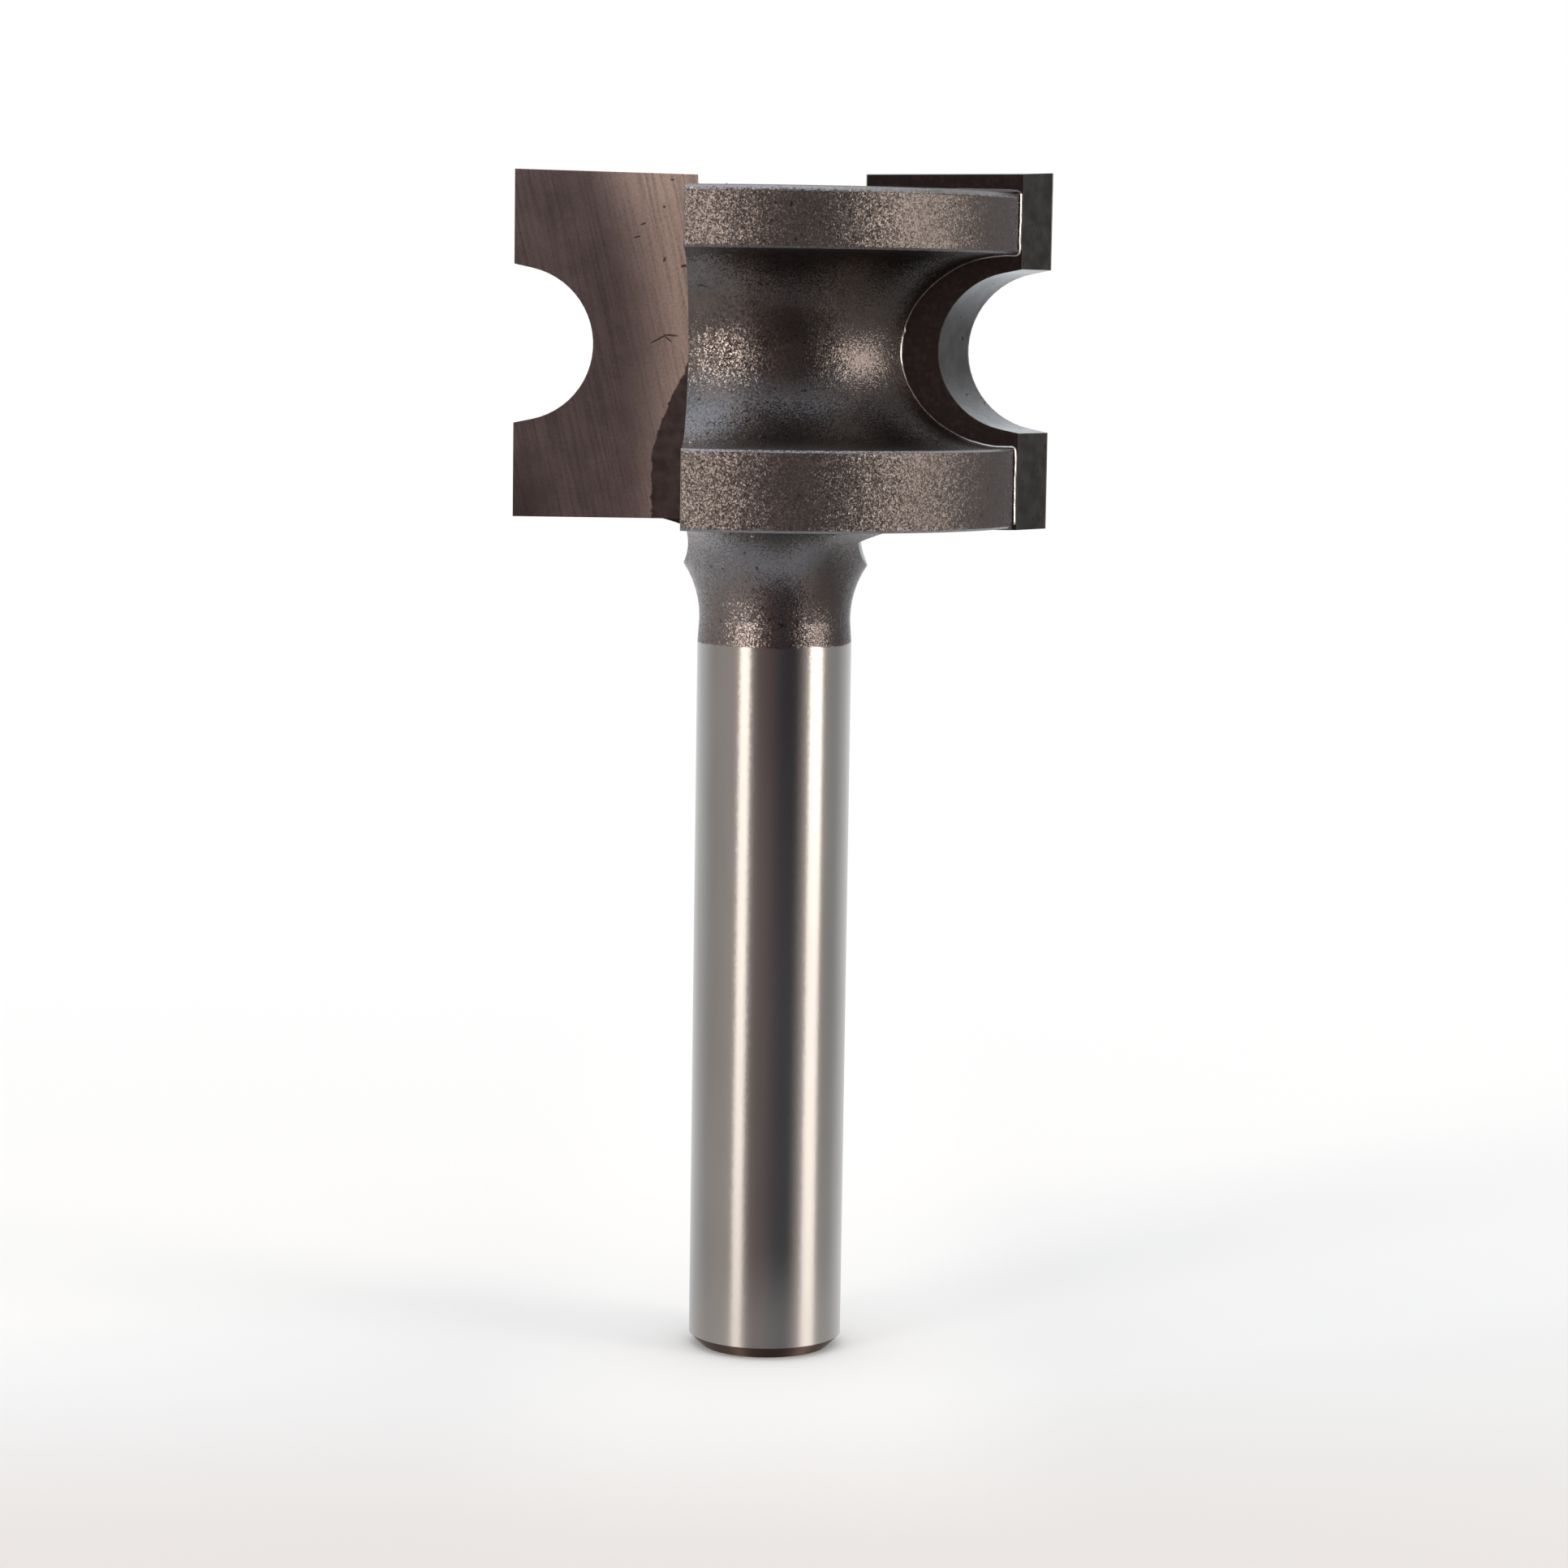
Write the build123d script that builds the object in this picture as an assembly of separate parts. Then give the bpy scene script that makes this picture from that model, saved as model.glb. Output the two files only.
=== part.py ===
from build123d import *
import math
import os

# A two-flute half-round router bit. A steel body is turned in one piece with its shank, two
# gullets are milled into its head, and a carbide cutting tip is brazed into a seat in each.
# The bit stands on the foot of its shank: the origin is the middle of the foot, and +Z runs
# up the axis to the head. Seen from the head it cuts counter-clockwise. Tip A is on the +X
# side with its cutting face towards +Y, and tip B is half a turn round. Sizes are millimetres.

# ---- Shank and neck ----
shank_diameter = 6.35       # quarter-inch collet
foot_chamfer = 0.5          # bevel round the foot, both ways
ground_length = 29.5        # the shank is ground from the foot up to here
neck_diameter = 6.22        # the neck above is left as blasted, a shade under the shank
neck_taper = 0.95           # height over which the ground shank narrows to the neck
neck_length = 5.0           # from the ground shank to the underside of the head
cove_radius = 4.0           # hollow that opens the neck out into that underside

# ---- Cutting edges ----
cutting_diameter = 22.225   # seven eighths of an inch over both cutting edges
cutting_length = 14.2875    # nine sixteenths of an inch
bead_radius = 3.175         # the half round that the bit cuts, an eighth of an inch
bead_depth = 3.275          # from the lands' edge to the bottom of the half round
flare_angle = 12.0          # slope at which the half round runs out into each land

# ---- Carbide tips ----
tip_thickness = 1.6
rake_offset = 1.9           # each cutting face lies this far behind the axis, which gives it hook
tip_inner = 3.42            # distance of a tip's inner end from the axis
relief_shift = 1.3          # the profile moves inwards by this through the tip's thickness
dish_angle = 1.0            # the top edge falls away towards the axis
top_relief_angle = 3.2      # and towards the back of the tip

# ---- Brazing ----
braze_thickness = 0.1       # film between tip and seat
braze_bead = 0.14           # how far the film runs out past the body's outline

# ---- Body of the head ----
tip_rise = 0.86             # the tips stand above the body's top
tip_drop = 0.08             # and reach below its underside
flange_setback = 0.11       # the flanges lie inside the heel of the tips
groove_setback = 1.22       # the groove's waist lies inside the heel of the half round
groove_clearance = 0.695    # the groove is this much larger in radius than the half round
top_rim_radius = 0.25       # rounding of the top rim
edge_break = 0.1            # bevel of the flanges' other rims, rounding of the wings' leading edges
gullet_draft = 1.8          # the gullet walls open outwards
gullet_reach = 2.87         # how far the gullet cutter runs below the head's underside
gullet_runout = 2.3         # corner radius that it leaves there

# ---- Places that follow from these ----
shank_radius = shank_diameter / 2
neck_radius = neck_diameter / 2
head_bottom = ground_length + neck_length
tip_bottom = head_bottom - tip_drop
tip_top = tip_bottom + cutting_length
head_top = tip_top - tip_rise
edge_x = math.sqrt((cutting_diameter / 2) ** 2 - rake_offset ** 2)
bead_height = tip_bottom + cutting_length / 2
bead_centre_x = edge_x - bead_depth + bead_radius
tip_back = rake_offset + tip_thickness
seat_depth = tip_back + braze_thickness
seat_end = tip_inner - braze_thickness
flange_radius = math.hypot(edge_x - relief_shift, tip_back) - flange_setback
waist_radius = math.hypot(edge_x - bead_depth - relief_shift, tip_back) - groove_setback
groove_radius = bead_radius + groove_clearance
groove_centre = waist_radius + groove_radius
clear_of_all = cutting_diameter  # a cutter this large passes everything


def shank_and_neck():
    """Straight shank, bevelled at the foot, and the neck that opens out into the head."""
    cove_start = head_bottom - cove_radius
    with BuildPart() as stem:
        with BuildSketch(Plane.XZ):
            with BuildLine():
                Polyline(
                    (0, head_bottom),
                    (0, 0),
                    (shank_radius - foot_chamfer, 0),
                    (shank_radius, foot_chamfer),
                    (shank_radius, ground_length),
                    (neck_radius, ground_length + neck_taper),
                    (neck_radius, cove_start),
                )
                CenterArc((neck_radius + cove_radius, cove_start), cove_radius, 180, -90)
                Line((neck_radius + cove_radius, head_bottom), (0, head_bottom))
            make_face()
        revolve(axis=Axis.Z)
    return stem.part


def turned_head(grown=0.0):
    """Head before milling: two flanges round a half-round groove, larger all round if grown."""
    rim = flange_radius + grown
    bottom = head_bottom - grown
    top = head_top + grown
    hollow = groove_radius - grown
    half_groove = math.sqrt(hollow ** 2 - (rim - groove_centre) ** 2)
    lower_lip = (rim, bead_height - half_groove)
    upper_lip = (rim, bead_height + half_groove)
    with BuildPart() as head:
        with BuildSketch(Plane.XZ):
            with BuildLine():
                Polyline(upper_lip, (rim, top), (0, top), (0, bottom), (rim, bottom), lower_lip)
                ThreePointArc(lower_lip, (groove_centre - hollow, bead_height), upper_lip)
            make_face()
        revolve(axis=Axis.Z)
    return head.part


def gullet():
    """Space milled away in front of tip A, with the tip's seat as its floor.

    The wall opens outwards by the draft, and the cutter's corner leaves a hollow run-out
    where the slot ends in the cove."""
    low = head_bottom - gullet_reach
    far = clear_of_all
    flare = (far + seat_depth) * math.tan(math.radians(gullet_draft))
    with BuildPart() as space:
        with BuildSketch(Plane.XY.offset(low)):
            Polygon(
                (seat_end, -seat_depth),
                (far, -seat_depth),
                (far, far),
                (seat_end + flare, far),
                align=None,
            )
        extrude(amount=tip_top - low)
        wall = space.faces().sort_by(Axis.X)[0]
        fillet(wall.edges().sort_by(Axis.Z)[0], gullet_runout)
    return space.part


def cutting_tip():
    """Carbide tip A: a plate with the half round ground through it at the relief slope."""
    rise = math.radians(90 - flare_angle)
    run = bead_centre_x + bead_radius * -math.cos(rise)
    height = bead_radius * math.sin(rise)
    corner = height + (edge_x - run) * math.tan(math.radians(flare_angle))
    stock = 1.0  # left above the top until it is ground off
    with BuildPart() as tip:
        with BuildSketch(Plane.XZ.offset(rake_offset)):
            with BuildLine():
                Polyline(
                    (run, bead_height + height),
                    (edge_x, bead_height + corner),
                    (edge_x, tip_top + stock),
                    (tip_inner, tip_top + stock),
                    (tip_inner, tip_bottom),
                    (edge_x, tip_bottom),
                    (edge_x, bead_height - corner),
                    (run, bead_height - height),
                )
                ThreePointArc(
                    (run, bead_height - height),
                    (edge_x - bead_depth, bead_height),
                    (run, bead_height + height),
                )
            make_face()
        slope = Vector(-relief_shift, -tip_thickness, 0)
        extrude(amount=slope.length, dir=slope)
        inner_end = Plane(origin=(tip_inner, 0, 0), z_dir=(1, 0, 0))
        split(bisect_by=inner_end, keep=Keep.TOP)
        dish = math.tan(math.radians(dish_angle))
        relief = math.tan(math.radians(top_relief_angle))
        top = Plane(origin=(edge_x, -rake_offset, tip_top), z_dir=(-dish, -relief, 1))
        split(bisect_by=top, keep=Keep.BOTTOM)
    return tip.part


def braze_layer():
    """Film that holds tip A: behind its back face and round its inner end.

    It runs out a little past the body's outline, as far as the tip backs it."""
    far = clear_of_all
    corner = Pos(seat_end, -seat_depth, tip_bottom)
    back = corner * Box(far, braze_thickness, cutting_length, align=Align.MIN)
    across = seat_depth - rake_offset
    end = corner * Box(braze_thickness, across, cutting_length, align=Align.MIN)
    return (back + end) & turned_head(grown=braze_bead) & gullet()


def body():
    """Turned head and stem in one, with both gullets milled out and the edges eased.

    The rims are bevelled on the lathe, except the top one, which is rounded. The leading edge
    of each wing is rounded after milling, from the top face to the underside."""
    head = turned_head()
    rims = head.edges().sort_by(SortBy.LENGTH)[-4:].sort_by(Axis.Z)
    head = chamfer(rims[:-1], edge_break)
    head = fillet(head.edges().sort_by(Axis.Z)[-1], top_rim_radius)
    slot = gullet()
    milled = head + shank_and_neck() - slot - Rot(0, 0, 180) * slot
    upright = milled.edges().filter_by(Axis.Z).group_by(Axis.Y)
    return fillet(upright[0] + upright[-1], edge_break)


os.makedirs("parts", exist_ok=True)
export_step(body(), "parts/body.step")
for letter, turn in (("a", 0), ("b", 180)):
    export_step(Rot(0, 0, turn) * cutting_tip(), f"parts/cutting_tip_{letter}.step")
    export_step(Rot(0, 0, turn) * braze_layer(), f"parts/braze_layer_{letter}.step")
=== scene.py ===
import math

import bpy
import numpy as np
from mathutils import Matrix


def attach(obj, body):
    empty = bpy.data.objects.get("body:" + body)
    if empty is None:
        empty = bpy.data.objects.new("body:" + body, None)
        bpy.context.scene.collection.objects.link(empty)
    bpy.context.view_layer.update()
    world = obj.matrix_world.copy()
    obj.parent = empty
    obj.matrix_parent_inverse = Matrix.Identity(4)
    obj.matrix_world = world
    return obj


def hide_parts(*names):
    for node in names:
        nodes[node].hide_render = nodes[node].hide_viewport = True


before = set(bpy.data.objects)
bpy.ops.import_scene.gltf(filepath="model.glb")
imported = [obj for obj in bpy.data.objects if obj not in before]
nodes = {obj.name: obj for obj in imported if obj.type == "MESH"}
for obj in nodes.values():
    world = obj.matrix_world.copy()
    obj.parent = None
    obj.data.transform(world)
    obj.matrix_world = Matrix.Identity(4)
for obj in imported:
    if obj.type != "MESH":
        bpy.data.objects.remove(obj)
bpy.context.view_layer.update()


# ---- Steel body ----
# Shank, neck and head are turned from one steel bar, and two gullets are milled into the head.
# Head and neck are blasted to a dull brown grey; the half of each wing by its seat is darker,
# and the steel stains along the seats as the tips are brazed in. Last the shank is ground to
# size, bright up to a ragged edge on the neck.

class Signal:
    """One output of a shader node. Arithmetic on signals adds the Math nodes that it means."""

    def __init__(self, tree, socket=None):
        self.tree, self.socket = tree, socket

    def node(self, kind, settings, inputs, output=0):
        """A new node's output: its settings go on first, then each input's value or link."""
        new = self.tree.nodes.new("ShaderNode" + kind)
        for name, value in settings.items():
            if name == "stops":
                ramp = new.color_ramp
                while len(ramp.elements) < len(value):
                    ramp.elements.new(1.0)
                for element, (place, colour) in zip(ramp.elements, value):
                    element.position, element.color = place, (*colour, 1.0)
            else:
                setattr(new, name, value)
        for name, value in inputs.items():
            if isinstance(value, Signal):
                self.tree.links.new(value.socket, new.inputs[name])
            else:
                new.inputs[name].default_value = value
        return Signal(self.tree, new.outputs[output] if new.outputs else None)

    def math(self, operation, *others):
        """A Math node on this signal and the others."""
        return self.node("Math", {"operation": operation}, dict(enumerate((self, *others))))

    def __add__(self, other):
        return self.math("ADD", other)

    def __sub__(self, other):
        return self.math("SUBTRACT", other)

    def __mul__(self, other):
        return self.math("MULTIPLY", other)

    def __truediv__(self, other):
        return self.math("DIVIDE", other)

    def __neg__(self):
        return self.math("MULTIPLY", -1.0)

    def __rsub__(self, other):
        return -self + other

    __radd__, __rmul__ = __add__, __mul__

    def rise(self, low, high):
        """0 below low, 1 above high, and a smooth step between them."""
        limits = {"From Min": low, "From Max": high}
        step = {"interpolation_type": "SMOOTHSTEP"}
        return self.node("MapRange", step, {"Value": self, **limits})

    def most(self, other):
        """The larger of the two."""
        return self.math("MAXIMUM", other)

    def mix(self, first, second):
        """The colour first where this signal is 0, and second where it is 1."""
        first, second = [(*c, 1.0) if isinstance(c, tuple) else c for c in (first, second)]
        return self.node("Mix", {"data_type": "RGBA"}, {0: self, 6: first, 7: second}, 2)

    def ramp(self, stops):
        """The colour at this signal's value, from stops that each pair a value with a colour."""
        low, high = stops[0][0], stops[-1][0]
        places = [((value - low) / (high - low), colour) for value, colour in stops]
        return self.node("ValToRGB", {"stops": places}, {0: (self - low) / (high - low)})


def surface(name):
    """A new material: its tree as a bare signal, and the place on the piece in millimetres."""
    material = bpy.data.materials.new(name)
    material.use_nodes = True
    material.node_tree.nodes.clear()
    tree = Signal(material.node_tree)
    metres = tree.node("TexCoord", {}, {}, "Object")
    place = tree.node("VectorMath", {"operation": "SCALE"}, {0: metres, "Scale": 1000.0})
    return material, tree, place


def split(place):
    """The three coordinates of a place."""
    return [place.node("SeparateXYZ", {}, {0: place}, axis) for axis in range(3)]


def noise(place, per_mm, detail, stretch=(1.0, 1.0, 1.0)):
    """Cloudy noise, 0 to 1 around a half, with per_mm lumps to the millimetre."""
    stretched = place.node("VectorMath", {"operation": "MULTIPLY"}, {0: place, 1: stretch})
    return place.node("TexNoise", {}, {"Vector": stretched, "Scale": per_mm, "Detail": detail})


def waves(place, per_mm):
    """A random colour that changes smoothly, for leant."""
    return place.node("TexNoise", {}, {"Vector": place, "Scale": per_mm, "Detail": 1.0}, "Color")


def leant(random, lean):
    """The surface's own direction, leant by a random colour whose middle is grey."""
    offset = random.node("VectorMath", {"operation": "SUBTRACT"}, {0: random, 1: (0.5, 0.5, 0.5)})
    offset = random.node("VectorMath", {"operation": "SCALE"}, {0: offset, "Scale": lean})
    facing = random.node("NewGeometry", {}, {}, "Normal")
    moved = random.node("VectorMath", {"operation": "ADD"}, {0: facing, 1: offset})
    return random.node("VectorMath", {"operation": "NORMALIZE"}, {0: moved})


ground_top = 29.5       # the shank is ground up to here
foot_bevel = 0.5
neck_radius = 3.1
head_bottom = 34.5
upper_lip = 45.4        # the groove runs out here into the upper flange
flange_radius = 10.154
seat_plane = 3.6        # the seats' floors lie this far from the axis
sheen_spot = (-2.4, -5.6, 41.35)      # middle of a painted highlight spot at the groove's waist
facets_per_mm = 17.0
grit_depth = 0.00003    # metres
ring_depth = 0.00002
seat_half_tone = (0.10, 0.085, 0.081)
torch_stain = (0.12, 0.10, 0.095)
pit = (0.10, 0.085, 0.08)

steel, tree, place = surface("turned_steel")
x, y, z = split(place)
radius = (x * x + y * y).math("SQRT")
on_flange = radius.rise(8.0, 9.5)
sway = 0.3 * (noise(place, 0.55, 3.0) - 0.5)
ragged = 0.12 * (noise(place, 4.0, 2.0) - 0.5)
blasted = (z - ground_top - sway - ragged).rise(-0.03, 0.05)

# Blasted: a dull pitted skin, whose tone changes up the neck and head
patches = noise(place, 0.7, 4.0)
# The dark band from 40.9 to 43.8 mm, through the groove's waist and under the upper flange, is painted
# shade
dull = (z + 1.2 * (patches - 0.5)).ramp((
    (29.5, (0.33, 0.272, 0.263)),
    (31.0, (0.37, 0.33, 0.325)),
    (32.6, (0.41, 0.393, 0.40)),
    (34.4, (0.40, 0.383, 0.39)),
    (34.7, (0.295, 0.252, 0.235)),
    (37.4, (0.295, 0.252, 0.235)),
    (38.0, (0.33, 0.32, 0.325)),
    (40.2, (0.28, 0.275, 0.285)),
    (40.9, (0.205, 0.17, 0.162)),
    (42.8, (0.20, 0.168, 0.16)),
    (43.8, (0.235, 0.206, 0.197)),
    (45.2, (0.27, 0.25, 0.24)),
    (45.6, (0.30, 0.255, 0.237)),
))
dull = (0.5 * patches.rise(0.3, 0.7)).mix(dull, (0.37, 0.32, 0.30))

# The half of each wing by its seat is darker, and the brazing torch left a stain along the seat
seat_side = x * (1.0 - 2.0 * y.rise(-2.0, 2.0))     # grows towards the wing's own seat
seat_half = (seat_side / radius.most(neck_radius)).rise(0.15, 0.6)
dull = ((0.88 - 0.13 * on_flange) * seat_half).mix(dull, seat_half_tone)
from_seat = (y.math("ABSOLUTE") - seat_plane).math("ABSOLUTE")
stain_width = 0.25 * (radius - 2.0).most(0.5)
torched = seat_side.rise(0.5, 3.5) * (1.0 - (from_seat / stain_width).rise(0.2, 2.0))
torched = torched * (z - head_bottom).rise(-0.2, 0.0)
dull = (0.7 * torched).mix(dull, torch_stain)

# Dark specks and pits, one painted highlight spot (where the steel is also smoother), and rims painted
# pale as a painted highlight
specks = noise(place, 3.4, 1.0).rise(0.70, 0.76)
dull = (0.7 * specks).mix(dull, (0.06, 0.05, 0.05))
# A paler spot at the groove's waist: painted highlight, with lower roughness and more leant grain
from_mark = place.node("VectorMath", {"operation": "DISTANCE"}, {0: place, 1: sheen_spot}, "Value")
painted_sheen = 1.0 - from_mark.rise(0.3, 1.3)
dull = (0.35 * painted_sheen).mix(dull, (0.55, 0.48, 0.44))
grit = noise(place, 13.0, 2.0)
dull = (0.35 - 0.35 * grit.rise(0.36, 0.56)).mix(dull, pit)
from_rim = flange_radius - radius
# Pale rims on the flanges' rounded edges: a painted highlight, where the steel is also smoother
rim_highlight = (1.0 - from_rim.rise(0.094, 0.124)) * from_rim.rise(0.004, 0.024)
rim_highlight = rim_highlight * (0.3 + 0.7 * (z - upper_lip).math("ABSOLUTE").rise(0.2, 0.3))
dull = (0.7 * rim_highlight).mix(dull, (0.50, 0.49, 0.50))

# Its grain: small facets that lean at random, less where the steel is smoother
rightward = (x / radius).rise(-0.55, 0.0)
lean = (0.62 - 0.31 * rightward) * (0.62 + 0.38 * on_flange) + 0.3 * painted_sheen
facets = tree.node("TexVoronoi", {}, {"Vector": place, "Scale": facets_per_mm}, "Color")
grain = tree.node("Bump", {}, {
    "Strength": 0.5, "Distance": grit_depth, "Height": grit, "Normal": leant(facets, lean),
})
coarse = 0.28 + 0.11 * on_flange - 0.1 * painted_sheen - 0.06 * rim_highlight + 0.12 * (grit - 0.5)
blasted_steel = tree.node("BsdfPrincipled", {}, {
    "Base Color": dull, "Metallic": 1.0, "Roughness": coarse, "Normal": grain,
})

# Ground: fine rings round the shank, worn duller near the foot
rings = noise(place, 1.0, 2.0, (0.4, 0.4, 26.0))
drawn = noise(place, 0.5, 2.0, (1.0, 1.0, 0.2)).rise(0.3, 0.7)
bright = drawn.mix((0.60, 0.57, 0.545), (0.66, 0.635, 0.61))
# The foot's bevel is painted dark brown, as painted shade, and is also made rougher
bevel = (foot_bevel - z).rise(-0.02, 0.02)
bright = bevel.mix(bright, (0.16, 0.11, 0.09))
worn = 1.0 - z.rise(0.8, 5.0)
fine = 0.32 + 0.04 * (rings - 0.5) + 0.2 * bevel + 0.08 * worn
turning = tree.node("Bump", {}, {
    "Strength": 0.02, "Distance": ring_depth, "Height": rings, "Normal": leant(waves(place, 9.0), 0.045),
})
ground_steel = tree.node("BsdfPrincipled", {}, {
    "Base Color": bright, "Metallic": 1.0 - 0.09 * worn, "Roughness": fine,
    "Anisotropic": 0.96, "Anisotropic Rotation": 0.25, "Normal": turning,
})
finished = tree.node("MixShader", {}, {0: blasted, 1: ground_steel, 2: blasted_steel})
tree.node("OutputMaterial", {}, {"Surface": finished})
nodes["body"].material_slots[0].material = steel


# ---- Carbide tips ----
# Each tip is a plate of sintered tungsten carbide, brazed into its seat with its dark pressed
# back against the steel. The cutting face is lapped in slanting strokes that miss its lower
# inner corner, and the relief and the half round are ground across.

rake_plane = 1.9        # the cutting faces lie this far from the axis
tip_back = 3.5          # and the tips' backs this far
land_start = 9.55       # the narrow lands lie further out than this
waist_height = 41.5638  # middle of the half round, and of the groove behind it
slant = math.radians(13.0)          # of the lapping strokes from upright
stroke_across, stroke_along = 7.0, 0.22     # strokes to the millimetre: fine across, long along
scratch_depth = 0.00002             # metres

carbide, tree, place = surface("ground_carbide")
x, y, z = split(place)
side = x.math("SIGN")
out, level = x * side, y * side      # the same on both tips, which are half a turn apart
rake = (level + rake_plane + 0.05).rise(-0.01, 0.01)
back = (0.05 - tip_back - level).rise(-0.01, 0.01)

# Cutting face: slanting strokes; it is painted bright towards the axis as a painted reflection,
# and painted dull in its lower outer corner as painted shade
across = (out * math.cos(slant) - z * math.sin(slant)) * stroke_across
strokes = tree.node("CombineXYZ", {}, {"X": across, "Y": level, "Z": z * stroke_along})
streaks = tree.node("TexNoise", {}, {"Vector": strokes, "Scale": 1.0, "Detail": 5.0})
clouds = noise(place, 0.6, 2.0)
lapped = clouds.rise(0.25, 0.75).mix((0.34, 0.272, 0.267), (0.44, 0.355, 0.35))
low_corner = out.rise(8.4, 10.6) * (1.0 - z.rise(34.5, 38.0))
lapped = low_corner.mix(lapped, (0.22, 0.17, 0.17))
lift = ((z - 41.0) / 7.44).most(0.0)
painted_sheen = (5.0 + 1.9 * lift * lift - out + streaks).rise(-1.2, 2.1)
lapped = painted_sheen.mix(lapped, (1.0, 0.80, 0.70))
dirt = 0.36 * streaks.rise(0.38, 0.72) + 0.18 * noise(place, 9.0, 2.0).rise(0.35, 0.7)
lapped = dirt.mix(lapped, (0.13, 0.10, 0.10))

# Its inner corner, which the lapping missed: the edge is upright up to 37 mm, then bends inwards
up = ((z - 37.0) / 3.76).most(0.0)
raw_edge = 5.2 - 1.45 * up * (0.53 + 0.47 * up)
raw = (raw_edge - out + 0.3 * (noise(place, 3.0, 3.0) - 0.5)).rise(-0.03, 0.04)
unlapped = noise(place, 2.0, 3.0).rise(0.3, 0.7).mix((0.12, 0.09, 0.088), (0.19, 0.15, 0.145))
lapped = raw.mix(lapped, unlapped)

# Pits and scratches on the face that shows: middle, length, width in mm, and lean in degrees
marks = None
for mark_x, mark_z, length, width, lean in (
    (-5.65, 46.53, 0.10, 0.035, 20),
    (-5.89, 46.00, 0.13, 0.03, 15),
    (-4.79, 47.24, 0.05, 0.04, 0),
    (-4.76, 45.09, 0.09, 0.04, 70),
    (-3.95, 44.84, 0.12, 0.05, 10),
    (-4.47, 48.35, 0.08, 0.03, 0),
    (-4.96, 41.83, 0.34, 0.03, 28),
    (-4.45, 41.98, 0.26, 0.035, -4),
    (-4.60, 41.85, 0.20, 0.03, -40),
):
    turn = math.radians(lean)
    along, athwart = x - mark_x, z - mark_z
    u = (along * math.cos(turn) + athwart * math.sin(turn)) / length
    v = (athwart * math.cos(turn) - along * math.sin(turn)) / width
    spot = 1.0 - (u * u + v * v).rise(0.6, 2.2)
    marks = spot if marks is None else marks.most(spot)
lapped = (0.8 * marks).mix(lapped, (0.07, 0.055, 0.055))

# Relief: the half round is painted dark in its middle and paler and bluer towards its ends, where
# it turns up and down: painted shade and painted sheen. The lands are darkest, and small chips lie here
# and there
mottle = noise(place, 1.6, 3.0).rise(0.3, 0.7)
middle = mottle.mix((0.17, 0.165, 0.165), (0.22, 0.215, 0.215))
ends = mottle.mix((0.32, 0.33, 0.345), (0.38, 0.39, 0.41))
bend = (z - waist_height).math("ABSOLUTE").rise(0.6, 2.4)
relief = bend.mix(middle, ends)
facing_up = split(tree.node("NewGeometry", {}, {}, "Normal"))[2].math("ABSOLUTE")
land = (1.0 - facing_up.rise(0.5, 0.8)) * (out - land_start).rise(-0.05, 0.05)
relief = land.mix(relief, mottle.mix((0.08, 0.076, 0.073), (0.135, 0.127, 0.12)))
chipped = noise(place, 3.2, 2.0).rise(0.70, 0.73)
relief = (0.8 * chipped).mix(relief, (0.05, 0.045, 0.045))

# Back: the dark skin left by pressing and firing
scale = noise(place, 5.0, 3.0).rise(0.4, 0.8).mix((0.075, 0.058, 0.055), (0.125, 0.09, 0.085))
colour = back.mix(rake.mix(relief, lapped), scale)
rough = 0.17 + 0.25 * rake + 0.13 * rake * painted_sheen + 0.3 * back
scratched = tree.node("Bump", {}, {
    "Strength": 0.15, "Distance": scratch_depth, "Height": streaks,
    "Normal": leant(waves(place, 6.0), 0.06),
})
polished = tree.node("BsdfPrincipled", {}, {
    "Base Color": colour, "Metallic": 1.0, "Roughness": rough, "Normal": scratched,
})
tree.node("OutputMaterial", {}, {"Surface": polished})
for tip in ("cutting_tip_a", "cutting_tip_b"):
    nodes[tip].material_slots[0].material = carbide


# ---- Braze ----
# Silver solder holds each tip: a film behind it and round its inner end, and a bright fillet
# where the solder ran out and set along the edge of the seat, with a few drops that spat onto
# the steel. It is coppery where it thins out on the carbide.

waist_radius = 6.0516
groove_radius = 3.87
half_groove = 3.863     # from the waist to either lip
head_top = 47.8475
tip_bottom = 34.42
film = 0.1              # thickness of the film
film_end = 3.32         # the inner end of the film stands at this X
inset = 0.02            # the film behind the tip stops this far inside the outline
clear = 0.002           # keeps the film's faces out of the planes of steel and carbide
copper_start = 9.625    # further out than this the fillet is coppery
lump_depth = 0.00003    # metres


def outline_radius(height):
    """The turned head's radius at a height: the flanges', or between them the groove's arc."""
    offset = np.abs(height - waist_height)
    sagitta = groove_radius - np.sqrt(np.maximum(groove_radius ** 2 - offset ** 2, 0.0))
    return np.where(offset < half_groove, waist_radius + sagitta, flange_radius)


def outer_x(height):
    """X where a circle of the outline's radius meets the seat's floor."""
    return np.sqrt(outline_radius(height) ** 2 - seat_plane ** 2)


def seat_edge():
    """Points along the edge of seat A in mm: up its outer side, then in along the top.

    Outer side: the height rises evenly, and X follows the head's outline. Top: X falls evenly
    from the rim to the film's end. The line is then divided evenly by its length and smoothed
    by a running mean of seven points, which rounds its corners."""
    heights = np.linspace(head_bottom + 0.1, head_top, 4000)
    side = np.stack([outer_x(heights), heights], 1)
    top_x = np.linspace(side[-1, 0], film_end + film, 1500)[1:]
    line = np.concatenate([side, np.stack([top_x, np.full_like(top_x, head_top)], 1)])
    length = np.concatenate([[0.0], np.cumsum(np.hypot(*np.diff(line, axis=0).T))])
    even = np.linspace(0.0, length[-1], 700)
    line = np.stack([np.interp(even, length, line[:, k]) for k in (0, 1)], 1)
    padded = np.pad(line, ((3, 3), (0, 0)), mode="edge")
    mean = np.ones(7) / 7
    return np.stack([np.convolve(padded[:, k], mean, "valid") for k in (0, 1)], 1)


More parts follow.
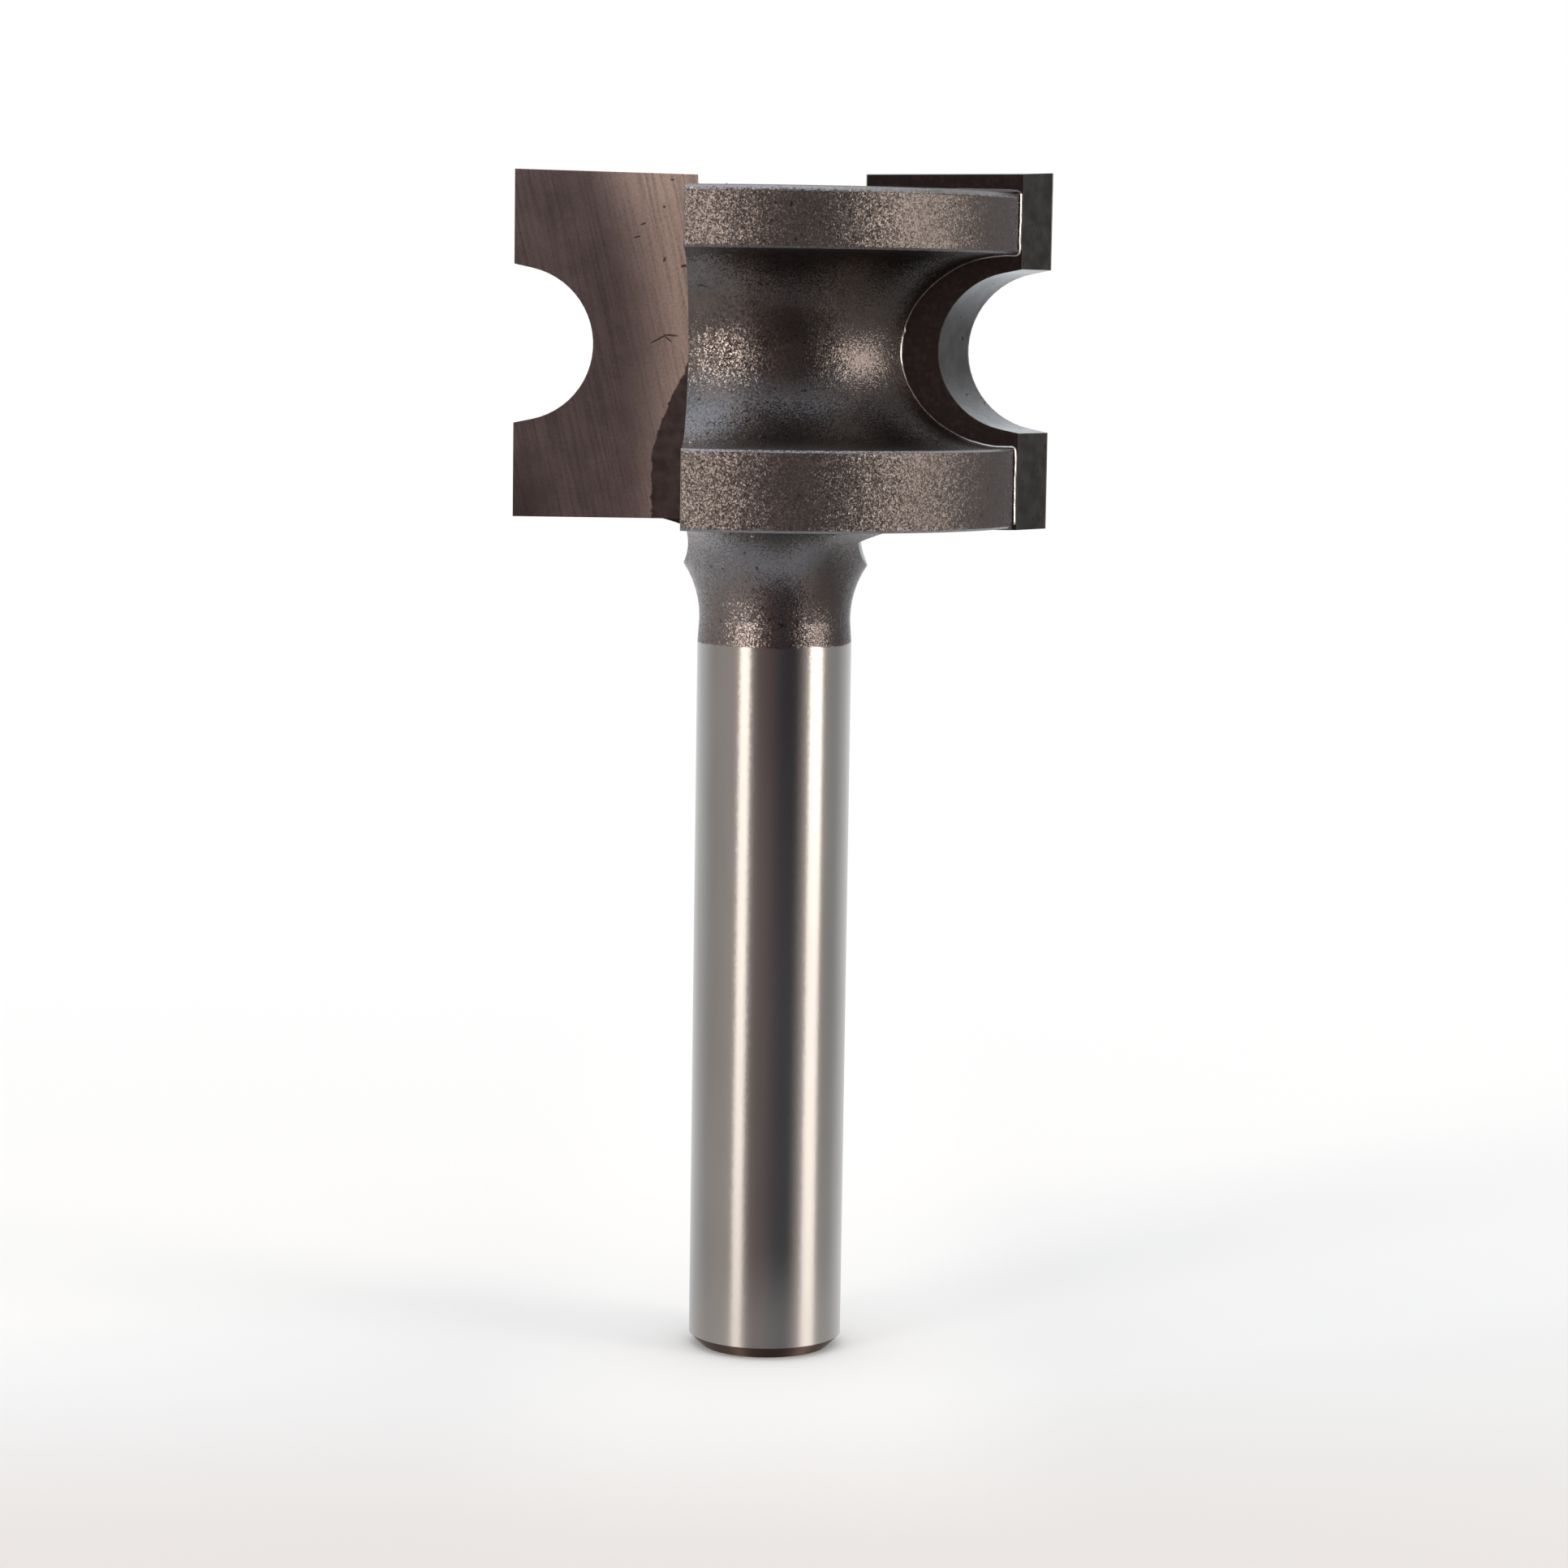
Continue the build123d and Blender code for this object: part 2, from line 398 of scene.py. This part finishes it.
def closed_rings(rings):
    """Vertices and faces of a closed skin over rings of points.

    The first and the last ring are drawn together to a pole at their mean."""
    count, sides = rings.shape[:2]
    poles = rings[[0, -1]].mean(1)
    vertices = np.concatenate([rings[1:-1].reshape(-1, 3), poles])
    number = np.arange((count - 2) * sides).reshape(count - 2, sides)
    beside = np.roll(number, -1, 1)
    quads = np.stack([number[:-1], beside[:-1], beside[1:], number[1:]], -1).reshape(-1, 4)
    first = np.stack([beside[0], number[0], np.full(sides, len(vertices) - 2)], -1)
    last = np.stack([number[-1], beside[-1], np.full(sides, len(vertices) - 1)], -1)
    return vertices, [*quads.tolist(), *first.tolist(), *last.tolist()]


def fillet():
    """The fillet on seat A: a flat oval carried along the seat's edge, outside the outline.

    It slopes across the film's thickness, from the steel out to the carbide. Its reach past the
    outline is larger on the flanges and the top than in the groove, and wavers by a sum of
    sines. Its bulge wavers with it and has one larger lump, and both ends close."""
    line = seat_edge()
    tangent = np.gradient(line, axis=0)
    tangent /= np.linalg.norm(tangent, axis=1)[:, None]
    outward = np.stack([tangent[:, 1], -tangent[:, 0]], 1)
    s = np.linspace(0.0, 1.0, len(line))
    height = line[:, 1]
    on_flange = np.clip((np.abs(height - waist_height) - 3.6) / 0.5, 0.0, 1.0)
    on_top = (height > head_top - 0.05) * np.clip((9.5 - line[:, 0]) / 0.4, 0.0, 1.0)
    at_waist = np.exp(-((height - 41.7) / 0.8) ** 2) * (line[:, 0] < 6.0)
    lump = np.exp(-((height - 42.31) / 0.10) ** 2) * (line[:, 0] < 6.0)
    waver = 0.5 * np.sin(61 * s + 1.0) + 0.3 * np.sin(143 * s + 0.4) + 0.2 * np.sin(311 * s)
    ends = np.sqrt(np.clip(np.minimum(s, 1.0 - s) / 0.004, 0.0, 1.0))
    near = 0.035 * on_flange * (1.0 - on_top)
    far = 0.075 + 0.06 * on_flange + 0.03 * on_top + 0.02 * at_waist
    far = far * (1.0 + 0.06 * waver) + 0.03 * lump
    bulge = 0.022 + 0.008 * waver + 0.045 * lump
    slope = np.arctan2(film, far - near)[:, None]
    turn = np.linspace(2 * np.pi, 0.0, 16, endpoint=False)
    long = (0.5 * np.hypot(far - near, film) * ends)[:, None] * np.cos(turn)
    short = (bulge * ends)[:, None] * np.sin(turn)
    away = 0.5 * (near + far)[:, None] + long * np.cos(slope) + short * np.sin(slope)
    depth = 0.5 * film - seat_plane + long * np.sin(slope) - short * np.cos(slope)
    place = line[:, None, :] + outward[:, None, :] * away[..., None]
    return np.stack([place[..., 0], depth, place[..., 1]], -1)


def plate(height, corners):
    """Rings for an upright plate: its plan's four corners at each height, and flat ends."""
    sides = [np.stack(np.broadcast_arrays(px, py, height), -1) for px, py in corners]
    rings = np.stack(sides, 1)
    return np.concatenate([rings[:1], rings, rings[-1:]])


def drop(centre, size, squash):
    """A set drop: a ball whose radius swells by a sine round it, flattened upwards."""
    circle = np.linspace(0, 2 * np.pi, 10, endpoint=False)
    around, up = np.meshgrid(circle, np.linspace(0, np.pi, 8))
    reach = size * (1.0 + 0.15 * np.sin(2 * around + centre[2]))
    sideways = np.sin(up)
    ball = [sideways * np.cos(around), sideways * np.sin(around), -squash * np.cos(up)]
    return np.array(centre) + np.stack(ball, -1) * reach[..., None]


drops = (       # middle and size in mm, and how high each stands for its width
    ((-2.76, -7.46, 38.23), 0.06, 0.8),
    ((-3.38, -8.02, 37.88), 0.07, 0.8),
    ((-0.94, -5.40, 34.13), 0.07, 0.6),
    ((2.30, -5.05, 34.16), 0.06, 0.6),
    ((4.71, -4.30, 43.11), 0.035, 0.9),
    ((4.30, -4.52, 42.72), 0.03, 0.9),
    ((-3.20, -7.60, 47.86), 0.09, 0.6),
    ((-2.10, -8.60, 47.86), 0.07, 0.6),
    ((6.90, -6.60, 47.86), 0.05, 0.6),
)

# The film: behind the tip inside the outline, and round its inner end, thinned to the front
heights = np.linspace(tip_bottom, head_top - inset, 120)
behind = plate(heights, (
    (film_end + inset, -seat_plane + clear),
    (outer_x(heights) - inset, -seat_plane + clear),
    (outer_x(heights) - inset, -seat_plane + film - clear),
    (film_end + inset, -seat_plane + film - clear),
))
around_end = plate(np.linspace(tip_bottom, head_top + 0.06, 40), (
    (film_end + clear, -seat_plane + 2 * clear),
    (film_end + film - clear, -seat_plane + 2 * clear),
    (film_end + film - clear, -rake_plane - 0.005),
    (film_end + 0.055, -rake_plane - 0.005),
))

# Its metal: silvery; painted shade darkens it in most of the groove, and it is dim on top; coppery where
# it thins out
braze, tree, place = surface("silver_braze")
x, y, z = split(place)
lumps = noise(place, 5.0, 2.0)
from_waist = (z - waist_height - 0.1).math("ABSOLUTE")
in_groove = from_waist.rise(0.3, 0.9) * (1.0 - from_waist.rise(3.4, 3.9))
dim = (in_groove * (0.7 + 0.6 * lumps)).most((z - head_top).rise(-0.05, 0.0))
colour = lumps.rise(0.3, 0.7).mix((0.86, 0.82, 0.77), (0.96, 0.93, 0.88))
colour = (0.95 * dim).mix(colour, (0.15, 0.13, 0.125))
coppery = x.math("ABSOLUTE") - copper_start + 0.03 * (lumps - 0.5)
coppery = coppery.rise(-0.008, 0.012)
colour = coppery.mix(colour, (0.50, 0.28, 0.17))
rough = 0.17 + 0.12 * lumps + 0.15 * dim
skin = tree.node("Bump", {}, {"Strength": 0.05, "Distance": lump_depth, "Height": lumps})
solder = tree.node("BsdfPrincipled", {}, {
    "Base Color": colour, "Metallic": 1.0, "Roughness": rough, "Normal": skin,
})
tree.node("OutputMaterial", {}, {"Surface": solder})

for letter, half_turn in (("a", 1.0), ("b", -1.0)):
    skins = [(behind, False), (around_end, False), (fillet(), True)]
    skins += [(drop(*one), True) for one in drops if letter == "a"]
    vertices, faces, smooth = [], [], []
    for rings, rounded in skins:
        points, sides = closed_rings(rings)
        first = sum(map(len, vertices))
        vertices.append(points)
        faces += [[first + corner for corner in face] for face in sides]
        smooth += [rounded] * len(sides)
    points = np.concatenate(vertices) * (half_turn, half_turn, 1.0) * 0.001
    mesh = bpy.data.meshes.new("braze_" + letter)
    mesh.from_pydata(points.tolist(), [], faces)
    mesh.polygons.foreach_set("use_smooth", smooth)
    mesh.materials.append(braze)
    piece = bpy.data.objects.new("braze_" + letter, mesh)
    bpy.context.collection.objects.link(piece)
    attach(piece, "root")
    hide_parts("braze_layer_" + letter)


# ---- Floor ----
# A wide sheet of white paper that lies flat under the bit, and melts into a plain white
# backdrop behind it.

floor_reach = 1.5       # metres, each way

paper, tree, place = surface("white_paper")
x, y, z = split(place)
sweep = y - 0.7 * x     # painted shade: the sheet darkens slantwise, to the right and towards the front
pale = sweep.ramp((
    (-38.0, (0.80, 0.805, 0.805)),
    (-20.0, (0.825, 0.835, 0.84)),
    (-14.0, (0.85, 0.86, 0.87)),
    (3.0, (0.86, 0.868, 0.88)),
    (10.0, (0.868, 0.876, 0.885)),
    (17.0, (0.885, 0.891, 0.897)),
    (23.0, (0.912, 0.914, 0.914)),
    (33.0, (0.93, 0.93, 0.93)),
))
# Paler in a strip under the bit: painted light that thins the bit's own shadow there
under = 0.7 - 0.7 * x.math("ABSOLUTE").rise(4.0, 14.0)
pale = under.mix(pale, (0.97, 0.97, 0.97))
# Darker towards the camera: painted shade
pale = (-y).rise(4.0, 34.0).mix(pale, (0.76, 0.733, 0.725))
away = (x * x + y * y).math("SQRT").rise(80.0, 220.0)
pale = away.mix(pale, (1.0, 1.0, 1.0))
lit = tree.node("BsdfDiffuse", {}, {"Color": pale})
white = tree.node("Emission", {}, {"Color": (1, 1, 1, 1), "Strength": 1.0})
sheet = tree.node("MixShader", {}, {0: y.rise(20.0, 110.0), 1: lit, 2: white})
tree.node("OutputMaterial", {}, {"Surface": sheet})
steps = np.linspace(-floor_reach, floor_reach, 31)
grid_x, grid_y = np.meshgrid(steps, steps)
points = np.stack([grid_x, grid_y, 0 * grid_x], -1).reshape(-1, 3)
number = np.arange(grid_x.size).reshape(grid_x.shape)
quads = np.stack([number[:-1, :-1], number[:-1, 1:], number[1:, 1:], number[1:, :-1]], -1)
mesh = bpy.data.meshes.new("floor")
mesh.from_pydata(points.tolist(), [], quads.reshape(-1, 4).tolist())
mesh.materials.append(paper)
floor = bpy.data.objects.new("floor", mesh)
bpy.context.collection.objects.link(floor)
floor.visible_glossy = False


# ---- Light ----
# A white studio: a white backdrop behind, grey sides, a dark room in front, a bright ceiling,
# and two tall soft boxes that stand in front of the bit to its left and right.

world = bpy.data.worlds.new("studio")
world.use_nodes = True
world.node_tree.nodes.clear()
bpy.context.scene.world = world
tree = Signal(world.node_tree)
x, y, z = split(tree.node("TexCoord", {}, {}, "Generated"))
azimuth = x.math("ARCTAN2", -y) * math.degrees(1.0)      # 0 in front of the bit, 90 to its right
room = azimuth.ramp((
    (-180, (0.95, 0.98, 1.00)),
    (-135, (0.55, 0.56, 0.57)),
    (-105, (0.34, 0.34, 0.34)),
    (-70, (0.40, 0.37, 0.35)),
    (-36, (0.38, 0.34, 0.32)),
    (-28, (0.16, 0.125, 0.12)),
    (-8, (0.12, 0.085, 0.085)),
    (12, (0.045, 0.038, 0.044)),
    (34, (0.022, 0.024, 0.03)),
    (42, (0.12, 0.11, 0.105)),
    (52, (0.42, 0.38, 0.36)),
    (74, (0.50, 0.45, 0.41)),
    (90, (0.34, 0.33, 0.32)),
    (112, (0.32, 0.33, 0.335)),
    (140, (0.62, 0.63, 0.64)),
    (180, (0.95, 0.98, 1.00)),
))
room = z.rise(0.66, 0.96).mix(room, (0.92, 1.00, 1.12))
room = (-z).rise(0.72, 0.95).mix(room, (0.34, 0.36, 0.39))
seen, glossy, through = [
    tree.node("LightPath", {}, {}, f"Is {kind} Ray") for kind in ("Camera", "Glossy", "Transmission")
]
colour = glossy.most(through).mix((0.97, 0.97, 0.97), room)
colour = seen.mix(colour, (1.0, 1.0, 1.0))
backdrop = tree.node("Background", {}, {"Color": colour, "Strength": 1.0})
tree.node("OutputWorld", {}, {"Surface": backdrop})

box_distance = 0.36
warm = (1.0, 0.93, 0.86)
for name, degrees, width, bottom, top, radiance in (
    ("left_soft_box", -44.0, 0.102, 0.015, 0.215, 4.9),
    ("right_soft_box", 67.3, 0.145, 0.025, 0.185, 6.0),
):
    lamp = bpy.data.lights.new(name, "AREA")
    lamp.shape = "RECTANGLE"
    lamp.size, lamp.size_y = width, top - bottom
    lamp.energy = radiance * math.pi * lamp.size * lamp.size_y
    lamp.color = warm
    holder = bpy.data.objects.new(name, lamp)
    turn = math.radians(degrees)
    beside, before = box_distance * math.sin(turn), box_distance * math.cos(turn)
    holder.location = (beside, -before, (top + bottom) / 2)
    holder.rotation_euler = (math.radians(90), 0, turn)
    bpy.context.collection.objects.link(holder)


# ---- Camera ----
# It stands in front of the bit at the height of the head, with a long lens, and looks slightly
# down at the middle of the bit.

swing, pitch, roll = 0.0029, 0.1146, 0.0148     # radians: to the right, down, anticlockwise
stand = (0.0, -0.16684, 0.042807)
lens_mm, sensor_mm = 93.155, 36.0

flat = math.cos(pitch)
ahead = np.array([math.sin(swing) * flat, math.cos(swing) * flat, -math.sin(pitch)])
sideways = np.array([math.cos(swing), -math.sin(swing), 0.0])
above = np.cross(sideways, ahead)
right = math.cos(roll) * sideways + math.sin(roll) * above
up = math.cos(roll) * above - math.sin(roll) * sideways
camera = bpy.data.objects.new("camera", bpy.data.cameras.new("camera"))
camera.data.sensor_width = sensor_mm
camera.data.lens = lens_mm
camera.data.clip_start = 0.005
camera.data.clip_end = 10.0
camera.matrix_world = Matrix((*np.stack([right, up, -ahead, stand], 1).tolist(), (0, 0, 0, 1)))
bpy.context.collection.objects.link(camera)
bpy.context.scene.camera = camera
bpy.context.scene.view_settings.view_transform = "Standard"
